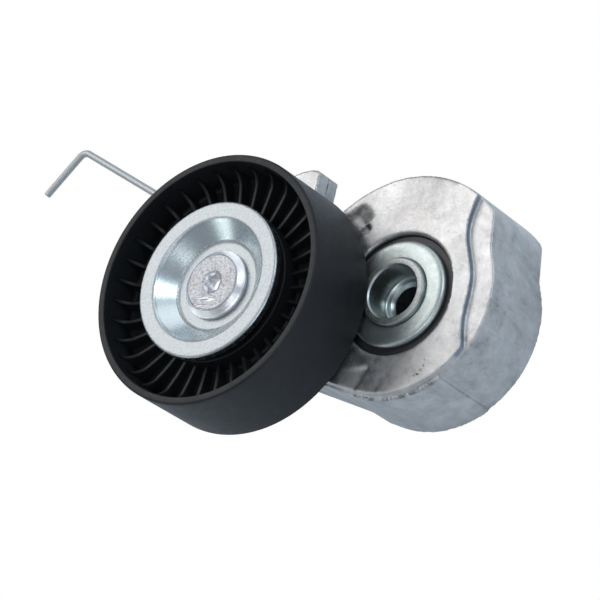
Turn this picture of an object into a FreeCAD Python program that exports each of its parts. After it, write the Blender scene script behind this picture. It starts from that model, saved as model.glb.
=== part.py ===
import FreeCAD, Part
import os
from math import sin, cos, tan, radians, degrees, pi, sqrt, asin, atan2, hypot
from FreeCAD import Vector as V

# Belt tensioner with idler pulley.
# Row frame: origin on the pivot axis at the base's rear mounting face, +Z along the
# pivot axis towards the pulley side, +X from the pivot axis to the pulley axis.
# All sizes in millimetres.
os.makedirs("parts", exist_ok=True)

# ---------------------------------------------------------------- driving sizes
ARM_LEN      = 45.8      # pivot axis to pulley axis
PULLEY_R     = 38.0      # running surface radius
PULLEY_Z0    = 36.5      # pulley rear edge
PULLEY_Z1    = 62.3      # pulley front edge
PULLEY_LIP_R = 35.72     # inside radius of the rim at its edges
PULLEY_EDGE  = 0.7       # rounding of the rim's corners
FIN_COUNT    = 35        # radial ribs on each side of the web
FIN_T        = 1.1       # rib thickness
FIN_A0       = -0.47     # where the first rib stands
HUB_R        = 23.4      # outside of the moulded hub round the bearing
WEB_Z0, WEB_Z1 = 47.0, 49.4

BRG_ID_R, BRG_OD_R = 8.5, 20.0     # 17 x 40 x 12 deep-groove bearing
BRG_Z0, BRG_Z1     = 43.0, 55.0
BALL_R, BALL_N     = 3.37, 8
BALL_A0            = 11.0      # where the first ball stands
GROOVE_R           = 3.5
PITCH_R            = 14.25

COVER_R      = 23.85     # front dust cover outside radius
COVER_TOP    = 61.5      # front of its flat rim
COVER_SEAT   = 56.0      # front of its clamped seat
BOLT_HEAD_R  = 10.4
BOLT_TOP     = 59.0
BOLT_SHANK_R = 5.0       # M10

FACE_Z       = 33.5      # front face of the arm casting
STEP_Z       = 31.7      # lower crescent beside it
CUP_Z0       = 5.0       # rear edge of the cup wall
CUP_IN_R     = 27.4
CUP_END_Z    = 27.5      # inside of the cup's end wall
BODY_R       = 30.8      # cup wall, plain side
BODY_R_LOW   = 31.2      # cup wall, lower side (other half of the mould)
LOBE_R       = 36.3      # thick side of the cup wall
LOBE_X       = -29.2     # flat where the lobe ends
FACE_R       = 29.9      # raised face, lower edge
NECK_BOSS_R  = 13.0
NECK_Z0      = 14.0      # rear of the neck

TUBE_R, TUBE_NOSE_R  = 11.0, 10.15
TUBE_TOP             = 35.7
TUBE_CB_R, TUBE_CB_Z = 7.9, 26.6   # counterbore for the mounting bolt's head
TUBE_BORE_R          = 5.25        # M10 clearance
WASHER_R, WASHER_T   = 16.15, 2.0
WASHER_Z0            = 32.3
RECESS_R             = 18.2
RECESS_Z             = 30.3

ARM_TRAVEL   = 40.0      # degrees, from the free-arm stop to full load
PIN_R        = 1.1
PIN_Z        = 25.0
PIN_AZ       = -32.58    # direction of the pin's long leg, tip to bend
PIN_OFF      = 10.33     # its distance from the pivot axis
PIN_TIP      = 26.0      # tip, measured along the leg from the point nearest the pivot
PIN_BEND     = 147.2     # corner of the bend, measured the same way
PIN_SHORT    = 18.5
PIN_ROLL     = 11.7      # roll of the short leg out of the arm's plane
PIN_BEND_R   = 2.3

Z3 = V(0, 0, 1)
PC = V(ARM_LEN, 0, 0)


def save(shape, name):
    if shape.ShapeType == "Compound" and len(shape.Solids) == 1:
        shape = shape.Solids[0]
    ok = shape.isValid() and all(s.isValid() for s in shape.Solids)
    b = shape.BoundBox
    print("%-24s solids %2d valid %s vol %9.1f  x %7.2f %7.2f y %7.2f %7.2f z %6.2f %6.2f" % (
        name, len(shape.Solids), ok, shape.Volume, b.XMin, b.XMax, b.YMin, b.YMax, b.ZMin, b.ZMax))
    shape.exportStep("parts/%s.step" % name)


def cyl(r, z0, z1, c=None):
    c = c or V(0, 0, 0)
    return Part.makeCylinder(r, z1 - z0, V(c.x, c.y, z0), Z3)


def ring(r0, r1, z0, z1, c=None):
    return cyl(r1, z0, z1, c).cut(cyl(r0, z0 - 1, z1 + 1, c))


def revolve(pts, c=None):
    """Closed (r, z) outline turned about the axis through c. A 3-item entry
    (r, z, (rm, zm)) is reached by an arc through rm, zm."""
    c = c or V(0, 0, 0)
    edges = []
    n = len(pts)
    P = [V(c.x + p[0], c.y, p[1]) for p in pts]
    for i in range(n):
        a, b = P[i], P[(i + 1) % n]
        nxt = pts[(i + 1) % n]
        if len(nxt) == 3:
            m = V(c.x + nxt[2][0], c.y, nxt[2][1])
            edges.append(Part.Arc(a, m, b).toShape())
        else:
            edges.append(Part.LineSegment(a, b).toShape())
    face = Part.Face(Part.Wire(edges))
    return face.revolve(V(c.x, c.y, 0), Z3, 360)


def fuse(shapes):
    s = shapes[0].multiFuse(shapes[1:]) if len(shapes) > 1 else shapes[0]
    return s.removeSplitter()


def pol(r, deg, z=0.0, c=None):
    c = c or V(0, 0, 0)
    return V(c.x + r * cos(radians(deg)), c.y + r * sin(radians(deg)), z)


def arc(r, a0, a1, z, c=None):
    return Part.Arc(pol(r, a0, z, c), pol(r, 0.5 * (a0 + a1), z, c), pol(r, a1, z, c)).toShape()


def line(a, b):
    return Part.LineSegment(a, b).toShape()


def prism(edges, h):
    return Part.Face(Part.Wire(edges)).extrude(V(0, 0, h))


def sector(r0, r1, a0, a1, z0, z1):
    e = [arc(r1, a0, a1, z0), line(pol(r1, a1, z0), pol(r0, a1, z0)),
         arc(r0, a1, a0, z0), line(pol(r0, a0, z0), pol(r1, a0, z0))]
    return prism(e, z1 - z0)


def pin_point(w, az_add=0.0, z=PIN_Z):
    d = radians(PIN_AZ + az_add)
    fx, fy = PIN_OFF * cos(d + pi / 2), PIN_OFF * sin(d + pi / 2)
    return V(fx + w * cos(d), fy + w * sin(d), z)


def pin_dir(az_add=0.0):
    d = radians(PIN_AZ + az_add)
    return V(cos(d), sin(d), 0)


# ---------------------------------------------------------------- base casting
tip_angle = degrees(atan2(pin_point(23.8).y, pin_point(23.8).x))   # where the pushed-in tip stands
FINGER_A = tip_angle + ARM_TRAVEL
FINGER_H = 7.6                      # half width of the stop finger, degrees

base = revolve([(TUBE_R, 0.0), (23.2, 0.0), (24.0, 0.8), (24.0, 2.5), (26.3, 2.5), (26.9, 3.1),
                (26.9, 7.0), (TUBE_R, 7.0)])
finger = sector(24.05, 26.9, FINGER_A - FINGER_H, FINGER_A + FINGER_H, 6.0, 27.1)
base = fuse([base, finger])
lock_hole = Part.makeCylinder(1.35, 12, pin_point(20, ARM_TRAVEL), pin_dir(ARM_TRAVEL))
base = base.cut(lock_hole)
DOWEL_R, DOWEL_AT, DOWEL_DEPTH = 4.0, V(-17.5, 0, 0), 5.0
base = base.cut(cyl(DOWEL_R, -1, DOWEL_DEPTH, DOWEL_AT))
# three shallow coring pockets in the mounting face
for a in (60, 0, -60):
    base = base.cut(cyl(3.6, -1, 3.2, pol(18.0, a)))
# slot that holds the spring's rear tail
tail_slot = Part.makeBox(4.4, 6.2, 3.2, V(18.3, -6.2, 4.6))
base = base.cut(tail_slot)
save(base, "base_casting")

# ---------------------------------------------------------------- pivot tube
tube = revolve([(TUBE_BORE_R, 0.0), (TUBE_R, 0.0), (TUBE_R, WASHER_Z0), (TUBE_NOSE_R, WASHER_Z0),
                (TUBE_NOSE_R, TUBE_TOP - 0.5), (TUBE_NOSE_R - 0.5, TUBE_TOP, (TUBE_NOSE_R - 0.15, TUBE_TOP - 0.15)),
                (TUBE_CB_R + 0.45, TUBE_TOP), (TUBE_CB_R, TUBE_TOP - 0.45), (TUBE_CB_R, TUBE_CB_Z + 0.9),
                (TUBE_CB_R - 0.9, TUBE_CB_Z, (TUBE_CB_R - 0.26, TUBE_CB_Z + 0.26)), (6.2, TUBE_CB_Z),
                (TUBE_BORE_R, TUBE_CB_Z - 0.95)])
save(tube, "pivot_tube")

# ---------------------------------------------------------------- front thrust washer
zt = WASHER_Z0 + WASHER_T
washer = revolve([(TUBE_NOSE_R, WASHER_Z0), (WASHER_R - 0.3, WASHER_Z0), (WASHER_R, WASHER_Z0 + 0.3),
                  (WASHER_R, WASHER_Z0 + 0.75), (WASHER_R - 1.15, zt - 0.12, (WASHER_R - 0.42, WASHER_Z0 + 1.55)),
                  (WASHER_R - 1.7, zt), (TUBE_NOSE_R + 0.55, zt), (TUBE_NOSE_R, zt - 0.4)])
save(washer, "front_thrust_washer")

# ---------------------------------------------------------------- thrust and damping rings, bushes
save(ring(TUBE_R + 0.3, 17.9, RECESS_Z, RECESS_Z + 1.7), "front_thrust_liner")
save(ring(TUBE_R + 0.0, 15.3, 7.0, 8.7), "rear_thrust_ring")
HUB_OUT_R, HUB_IN_R, HUB_Z0 = 15.5, 13.0, 9.0
save(ring(TUBE_R + 0.05, HUB_IN_R, 20.3, 30.1), "front_pivot_bush")
save(ring(TUBE_R + 0.05, HUB_IN_R, 9.2, 18.8), "rear_pivot_bush")
save(ring(HUB_OUT_R, 17.4, 9.3, 27.4), "spring_guide_sleeve")
damp = ring(23.2, 27.1, 7.0, 21.0)
damp = damp.cut(sector(20.0, 30.0, FINGER_A - 16, FINGER_A + 16, 6.0, 23.0))
for a in range(0, 360, 30):
    d = (a - FINGER_A + 180) % 360 - 180
    if abs(d) > 20:
        damp = damp.cut(cyl(0.9, 6.0, 23.0, pol(23.2, a)))
save(damp, "damping_ring")

# ---------------------------------------------------------------- torsion spring
SPR_MEAN, SPR_WIRE = 20.1, 1.95
SPR_Z0, SPR_Z1 = 9.25, 25.2
SPR_TURNS = 3.6
pitch = (SPR_Z1 - SPR_Z0) / SPR_TURNS
hel = Part.makeHelix(pitch, SPR_Z1 - SPR_Z0, SPR_MEAN)
hel.translate(V(0, 0, SPR_Z0))
wire = Part.Wire(hel.Edges)
prof = Part.Wire([Part.makeCircle(SPR_WIRE, V(SPR_MEAN, 0, SPR_Z0), V(0, 1, pitch / (2 * pi * SPR_MEAN)))])
spring = wire.makePipeShell([prof], True, True)
if spring.ShapeType != "Solid":
    spring = Part.Solid(Part.Shell(spring.Faces)) if len(spring.Solids) == 0 else spring.Solids[0]
tail = Part.makeCylinder(SPR_WIRE, 4.2, V(SPR_MEAN, 0, SPR_Z0 + 0.25), V(0, -1, -0.55))
spring = fuse([spring, tail])
save(spring, "torsion_spring")

# ---------------------------------------------------------------- arm casting


def tangent_pts(rh, rb, side):
    """outer tangent of the hub circle and the boss circle; side +1 is +Y"""
    s = (rh - rb) / ARM_LEN
    c = sqrt(1 - s * s)
    return degrees(atan2(side * c, s))


def outline(r_low, r_low2, r_lobe, r_boss, lobe_x, z):
    a_low = tangent_pts(r_low, r_boss, 1)
    a_up = tangent_pts(r_lobe, r_boss, -1)
    y1 = -sqrt(r_low2 ** 2 - lobe_x ** 2)
    y2 = -sqrt(r_lobe ** 2 - lobe_x ** 2)
    aC = 180 + degrees(atan2(-y1, -lobe_x))
    aD = 180 + degrees(atan2(-y2, -lobe_x))
    split = 121.0
    e = [arc(r_low, a_low, split, z),
         line(pol(r_low, split, z), pol(r_low2, split, z)),
         arc(r_low2, split, aC, z),
         line(pol(r_low2, aC, z), V(lobe_x, y2, z)),
         arc(r_lobe, aD, 360 + a_up, z),
         line(pol(r_lobe, a_up, z), pol(r_boss, a_up, z, PC)),
         arc(r_boss, a_up, a_low, z, PC),
         line(pol(r_boss, a_low, z, PC), pol(r_low, a_low, z))]
    return e


body = prism(outline(BODY_R_LOW, BODY_R, LOBE_R, NECK_BOSS_R, LOBE_X, CUP_Z0), STEP_Z - CUP_Z0)
# round the lobe's corner on the cup wall
try:
    es = [e for e in body.Edges if abs(e.BoundBox.ZMax - e.BoundBox.ZMin) > 20
          and abs(e.CenterOfMass.x - LOBE_X) < 0.2 and e.CenterOfMass.y < -18]
    body = body.makeFillet(4.6, es)
    es = [e for e in body.Edges if abs(e.BoundBox.ZMax - e.BoundBox.ZMin) > 20
          and abs(e.CenterOfMass.x - LOBE_X) < 0.3 and -14 < e.CenterOfMass.y < -5]
    body = body.makeFillet(12.0, es)
except Exception as ex:
    print("corner rounding:", ex)

# raised face plate, bounded by the wavy groove on its far side
aL = tangent_pts(FACE_R, 12.4, 1)
aU = tangent_pts(LOBE_R - 0.15, 12.4, -1)
zp = STEP_Z - 0.5
s0 = pol(FACE_R, 140.6, zp)
s1 = pol(LOBE_R - 0.15, 360 - 132.3, zp)
bs = Part.BSplineCurve()
bs.interpolate([s0, V(-22.75, 15.6, zp), V(-22.55, 11.0, zp), V(-23.6, 3.6, zp), V(-23.95, -3.1, zp),
                V(-22.4, -10.4, zp), V(-21.5, -16.2, zp), V(-22.6, -22.2, zp), s1])
plate = prism([arc(FACE_R, aL, 140.6, zp), bs.toShape(),
               arc(LOBE_R - 0.15, 360 - 132.3, 360 + aU, zp),
               line(pol(LOBE_R - 0.15, aU, zp), pol(12.4, aU, zp, PC)),
               arc(12.4, aU, aL, zp, PC),
               line(pol(12.4, aL, zp, PC), pol(FACE_R, aL, zp))], FACE_Z - zp)

# cast ear beside the neck
ear_pts = [(30.9, -42.9), (32.3, -43.9), (34.1, -44.3), (37.4, -44.25), (40.5, -43.6), (42.9, -42.0), (44.3, -39.0),
           (46.6, -14.0), (33.6, -16.0), (31.9, -36.0)]
EAR_Z0 = 24.0
pp = [V(x, y, EAR_Z0) for x, y in ear_pts]
ear = prism([line(pp[i], pp[(i + 1) % len(pp)]) for i in range(len(pp))], FACE_Z - EAR_Z0)

boss = cyl(12.2, NECK_Z0, 41.5, PC)
arm = fuse([body, plate, ear, boss])
# neck is shallower than the cup
keep = fuse([cyl(BODY_R_LOW + 0.4, 0, NECK_Z0 + 1), cyl(LOBE_R + 0.5, 0, NECK_Z0 + 1).common(
    Part.makeBox(60, 60, 40, V(-40.5, -60, 0)))])
low = Part.makeBox(90, 140, NECK_Z0, V(0, -70, 0)).cut(keep)
arm = arm.cut(low)
# cup, hub and neck hollows
cup = ring(HUB_OUT_R, CUP_IN_R, CUP_Z0 - 1, CUP_END_Z)
arm = arm.cut(cup)
arm = arm.cut(cyl(HUB_OUT_R + 0.2, CUP_Z0 - 1, HUB_Z0))
arm = arm.cut(cyl(HUB_IN_R, CUP_Z0 - 1, FACE_Z + 1))
arm = arm.cut(cyl(RECESS_R, RECESS_Z, FACE_Z + 1))
# rim radius of the recess
arm = arm.cut(revolve([(RECESS_R - 0.5, FACE_Z + 0.1), (RECESS_R - 0.5, FACE_Z - 0.6), (RECESS_R, FACE_Z - 0.6),
                       (RECESS_R + 0.7, FACE_Z + 0.1)]))
# coring under the neck
aLn = tangent_pts(27.0, 9.6, 1)
aUn = tangent_pts(31.0, 9.6, -1)
zc = NECK_Z0 - 1
core = prism([arc(9.6, aUn, aLn, zc, PC), line(pol(9.6, aLn, zc, PC), pol(27.0, aLn, zc)),
              line(pol(27.0, aLn, zc), pol(31.0, aUn, zc)), line(pol(31.0, aUn, zc), pol(9.6, aUn, zc, PC))], 22.0 - zc)
core = core.cut(cyl(34.6, 0, 40)).cut(cyl(8.6, 0, 40, PC))
arm = arm.cut(core)
# light pockets in the face beside the hub, concentric with the pulley that runs over them
pk_up = revolve([(44.6, FACE_Z + 0.05), (39.6, 31.75), (30.0, 31.75), (30.0, 34.6), (44.6, 34.6)], PC)
pk_up = pk_up.common(ring(27.2, 33.2, 31.0, 35.0)).common(Part.makeBox(60, 48.2, 10, V(0, -48.2, 28)))
notch = ring(24.4, 26.5, 31.9, 34.6).common(cyl(40.9, 31.0, 35.0, PC)).common(Part.makeBox(60, 48.2, 10, V(0, -48.2, 28)))
pk_lo = revolve([(44.4, 34.6), (44.4, 32.55), (37.5, 33.25), (30.0, 33.25), (30.0, 34.6)], PC)
pk_lo = pk_lo.common(Part.makeBox(60, 30, 10, V(0, 20.9, 28))).common(cyl(FACE_R + 4, 31.0, 35.0))
arm = arm.cut(pk_up.cut(ear)).cut(notch.cut(ear)).cut(pk_lo)
# pulley spigot and bolt thread
arm = fuse([arm, cyl(BRG_ID_R, 41.0, BRG_Z1 - 1.0, PC)])
arm = arm.cut(cyl(BOLT_SHANK_R, 10, 60, PC))
# guide bore for the locking pin
arm = arm.cut(Part.makeCylinder(PIN_R + 0.08, 40, pin_point(24.0), pin_dir()))
# stop ribs inside the cup that meet the base's finger at the ends of the travel
ribA0 = FINGER_A + FINGER_H + 0.6
ribB1 = FINGER_A - FINGER_H - 0.6 - ARM_TRAVEL
ribs = [sector(24.3, CUP_IN_R + 0.5, ribA0, ribA0 + 9, 22.2, CUP_END_Z + 0.5),
        sector(24.3, CUP_IN_R + 0.5, ribB1 - 9, ribB1, 22.2, CUP_END_Z + 0.5)]
arm = fuse([arm] + ribs)
save(arm, "arm_casting")

# ---------------------------------------------------------------- pulley bolt
bolt = revolve([(0, BOLT_TOP), (0, 22.0), (BOLT_SHANK_R - 0.8, 22.0), (BOLT_SHANK_R, 22.8), (BOLT_SHANK_R, COVER_SEAT),
                (BOLT_HEAD_R - 0.2, COVER_SEAT), (BOLT_HEAD_R, COVER_SEAT + 0.2), (BOLT_HEAD_R, COVER_SEAT + 0.95),
                (BOLT_HEAD_R - 0.35, COVER_SEAT + 1.4, (BOLT_HEAD_R - 0.08, COVER_SEAT + 1.25)),
                (8.55, BOLT_TOP - 0.32), (8.0, BOLT_TOP, (8.35, BOLT_TOP - 0.08))], PC)
star = []
for i in range(12):
    r = 2.95 if i % 2 == 0 else 2.1
    star.append(pol(r, i * 30 + 8, BOLT_TOP - 2.8, PC))
sc = Part.BSplineCurve()
sc.interpolate(Points=star, PeriodicFlag=True)
socket = Part.Face(Part.Wire([sc.toShape()])).extrude(V(0, 0, 4))
bolt = bolt.cut(socket)
bolt = bolt.cut(revolve([(0, BOLT_TOP + 0.5), (0, BOLT_TOP - 0.55), (2.3, BOLT_TOP - 0.55), (3.6, BOLT_TOP + 0.0),
                         (3.6, BOLT_TOP + 0.5)], PC))
save(bolt, "pulley_bolt")

# ---------------------------------------------------------------- front dust cover (pressed sheet)
t = 1.0
cover = revolve([(BOLT_SHANK_R + 0.3, COVER_SEAT), (BOLT_SHANK_R + 0.3, COVER_SEAT - t), (13.0, COVER_SEAT - t),
                 (14.4, COVER_SEAT - t + 0.75, (13.85, COVER_SEAT - t + 0.18)),
                 (18.75, COVER_TOP - t - 0.7, (17.0, 58.35)),
                 (20.0, COVER_TOP - t, (19.15, COVER_TOP - t - 0.25)),
                 (22.55, COVER_TOP - t), (COVER_R - 0.95, COVER_TOP - t - 0.5, (COVER_R - 1.05, COVER_TOP - t - 0.12)),
                 (COVER_R - 0.95, COVER_TOP - 2.1), (COVER_R - 0.5, COVER_TOP - 2.5, (COVER_R - 0.8, COVER_TOP - 2.4)),
                 (COVER_R, COVER_TOP - 2.1, (COVER_R - 0.15, COVER_TOP - 2.4)),
                 (COVER_R, COVER_TOP - 0.9), (COVER_R - 0.9, COVER_TOP, (COVER_R - 0.27, COVER_TOP - 0.27)),
                 (19.6, COVER_TOP), (18.3, COVER_TOP - 0.65, (18.75, COVER_TOP - 0.2)),
                 (13.9, COVER_SEAT + 0.85, (16.35, 59.05)),
                 (12.7, COVER_SEAT, (13.4, COVER_SEAT + 0.18))], PC)
save(cover, "dust_cover")

# ---------------------------------------------------------------- rear dust shield
shield = revolve([(BRG_ID_R + 0.02, 41.5), (17.6, 41.5), (18.2, 42.1, (18.02, 41.68)), (18.2, 42.35), (12.0, 42.35),
                  (12.0, BRG_Z0), (BRG_ID_R + 0.02, BRG_Z0)], PC)
save(shield, "rear_dust_shield")

# ---------------------------------------------------------------- bearing
zm = 0.5 * (BRG_Z0 + BRG_Z1)
IN_SH, OUT_SH = 12.2, 16.5


def torus_c(z=zm):
    return Part.makeTorus(PITCH_R, GROOVE_R, V(ARM_LEN, 0, z), Z3)


c = 0.4
inner = revolve([(BRG_ID_R, BRG_Z0 + c), (BRG_ID_R + c, BRG_Z0), (IN_SH - c, BRG_Z0), (IN_SH, BRG_Z0 + c),
                 (IN_SH, BRG_Z1 - c), (IN_SH - c, BRG_Z1), (BRG_ID_R + c, BRG_Z1), (BRG_ID_R, BRG_Z1 - c)], PC)
inner = inner.cut(torus_c())
save(inner, "bearing_inner_ring")
outer = revolve([(17.4, BRG_Z0), (BRG_OD_R - c, BRG_Z0), (BRG_OD_R, BRG_Z0 + c), (BRG_OD_R, BRG_Z1 - c),
                 (BRG_OD_R - c, BRG_Z1), (17.4, BRG_Z1), (17.4, BRG_Z1 - 1.3), (OUT_SH, BRG_Z1 - 1.3),
                 (OUT_SH, BRG_Z0 + 1.3), (17.4, BRG_Z0 + 1.3)], PC)
outer = outer.cut(torus_c())
save(outer, "bearing_outer_ring")
balls = [Part.makeSphere(BALL_R, pol(PITCH_R, 360.0 / BALL_N * i + BALL_A0, zm, PC)) for i in range(BALL_N)]
save(Part.makeCompound(balls), "bearing_balls")
cage = ring(12.75, 15.95, zm - 4.35, zm + 4.35, PC)
for i in range(BALL_N):
    a = 360.0 / BALL_N * i + BALL_A0
    cage = cage.cut(Part.makeCylinder(BALL_R + 0.16, 8, pol(10.5, a, zm, PC), pol(1, a)))
save(cage, "bearing_cage")
for nm, z0 in (("bearing_seal_rear", BRG_Z0 + 0.25), ("bearing_seal_front", BRG_Z1 - 1.25)):
    save(ring(12.5, 17.4, z0, z0 + 0.95, PC), nm)

# ---------------------------------------------------------------- pulley wheel (moulded)
e = PULLEY_EDGE
k = e * (1 - sqrt(0.5))
Ri = PULLEY_LIP_R
zi0, zi1 = PULLEY_Z0, PULLEY_Z1
wheel = revolve([
    (PULLEY_R, zi0 + e), (PULLEY_R, zi1 - e), (PULLEY_R - e, zi1, (PULLEY_R - k, zi1 - k)),
    (Ri + 0.35, zi1), (Ri, zi1 - 0.35, (Ri + 0.1, zi1 - 0.1)), (Ri - 0.25, WEB_Z1 + 1.2), (Ri - 1.5, WEB_Z1, (Ri - 0.65, WEB_Z1 + 0.35)),
    (HUB_R + 1.0, WEB_Z1), (HUB_R, WEB_Z1 + 1.0, (HUB_R + 0.3, WEB_Z1 + 0.3)),
    (HUB_R - 0.3, 56.0 - 0.4), (HUB_R - 0.7, 56.0, (HUB_R - 0.4, 55.9)), (18.7, 56.0), (18.7, BRG_Z1), (BRG_OD_R, BRG_Z1),
    (BRG_OD_R, BRG_Z0), (18.7, BRG_Z0), (18.7, 42.0), (HUB_R - 0.7, 42.0), (HUB_R - 0.3, 42.4, (HUB_R - 0.4, 42.1)),
    (HUB_R, WEB_Z0 - 1.0), (HUB_R + 1.0, WEB_Z0, (HUB_R + 0.3, WEB_Z0 - 0.3)),
    (Ri - 1.5, WEB_Z0), (Ri - 0.25, WEB_Z0 - 1.2, (Ri - 0.65, WEB_Z0 - 0.35)), (Ri, zi0 + 0.35),
    (Ri + 0.35, zi0, (Ri + 0.1, zi0 + 0.1)), (PULLEY_R - e, zi0), (PULLEY_R, zi0 + e, (PULLEY_R - k, zi0 + k))][:-1], PC)
# radial ribs, deepest beside the hub, both sides of the web
rib_front = revolve([(HUB_R - 0.8, WEB_Z1 - 0.4), (Ri + 0.6, WEB_Z1 - 0.4), (Ri + 0.6, 59.6), (35.6, 58.9),
                     (32.2, 53.45, (34.72, 55.6)), (HUB_R - 0.8, 52.5, (28.6, 52.85))], PC)
rib_rear = revolve([(HUB_R - 0.8, WEB_Z0 + 0.4), (HUB_R - 0.8, 43.8), (32.2, 42.75, (28.6, 43.4)),
                    (35.6, 37.9, (34.72, 40.8)), (Ri + 0.6, 37.4), (Ri + 0.6, WEB_Z0 + 0.4)], PC)
blades = []
for i in range(FIN_COUNT):
    b = Part.makeBox(PULLEY_R - 0.9 - (HUB_R - 0.8), FIN_T, 40, V(HUB_R - 0.8, -FIN_T / 2, 30))
    b.rotate(V(0, 0, 0), Z3, 360.0 / FIN_COUNT * i + FIN_A0)
    b.translate(PC)
    blades.append(b)
blades = Part.makeCompound(blades)
fins = blades.common(Part.makeCompound([rib_front])).Solids + blades.common(Part.makeCompound([rib_rear])).Solids
wheel = wheel.multiFuse(fins)
save(wheel, "pulley_wheel")

# ---------------------------------------------------------------- locking pin
d3 = pin_dir()
roll = radians(PIN_ROLL)
side = V(cos(radians(PIN_AZ + 90)) * cos(roll), sin(radians(PIN_AZ + 90)) * cos(roll), sin(roll))
tipP = pin_point(PIN_TIP)
cor = pin_point(PIN_BEND)
a0 = cor - d3 * PIN_BEND_R
a1 = cor + side * PIN_BEND_R
mid = cor + (side - d3) * (PIN_BEND_R * (1 - sqrt(0.5)))
endP = cor + side * PIN_SHORT
path = Part.Wire([line(tipP, a0), Part.Arc(a0, mid, a1).toShape(), line(a1, endP)])
prof = Part.Wire([Part.makeCircle(PIN_R, tipP, d3)])
pin = path.makePipeShell([prof], True, False)
if pin.ShapeType != "Solid":
    pin = pin.Solids[0] if pin.Solids else Part.Solid(Part.Shell(pin.Faces))
# chamfered tip
cone = Part.makeCone(0.6, PIN_R, 0.9, tipP, d3)
keep_tip = Part.makeCylinder(PIN_R + 1, 0.9, tipP, d3)
pin = pin.cut(keep_tip.cut(cone))
save(pin, "locking_pin")
print("finger angle", FINGER_A, "ribs", ribA0, ribB1, "pin length", PIN_BEND - PIN_TIP)
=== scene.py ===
import math, random
import bpy, bmesh
import numpy as np
from mathutils import Vector, Matrix


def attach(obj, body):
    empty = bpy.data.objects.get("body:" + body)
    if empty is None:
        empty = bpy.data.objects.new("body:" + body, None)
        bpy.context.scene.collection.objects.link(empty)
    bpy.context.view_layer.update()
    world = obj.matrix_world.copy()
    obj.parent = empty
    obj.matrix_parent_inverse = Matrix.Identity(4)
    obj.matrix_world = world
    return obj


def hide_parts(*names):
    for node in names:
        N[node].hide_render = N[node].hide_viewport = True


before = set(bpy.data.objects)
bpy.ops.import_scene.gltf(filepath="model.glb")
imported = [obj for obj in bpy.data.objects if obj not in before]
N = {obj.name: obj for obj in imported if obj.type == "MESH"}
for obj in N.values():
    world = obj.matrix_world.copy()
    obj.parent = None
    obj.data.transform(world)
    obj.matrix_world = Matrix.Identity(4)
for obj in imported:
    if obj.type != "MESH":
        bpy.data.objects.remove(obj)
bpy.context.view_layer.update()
MM = 0.001
PX = 45.8                      # pulley axis, mm

scene = bpy.context.scene
scene.view_settings.view_transform = "Standard"
scene.view_settings.look = "None"

# ------------------------------------------------------------------ node helpers


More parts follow.
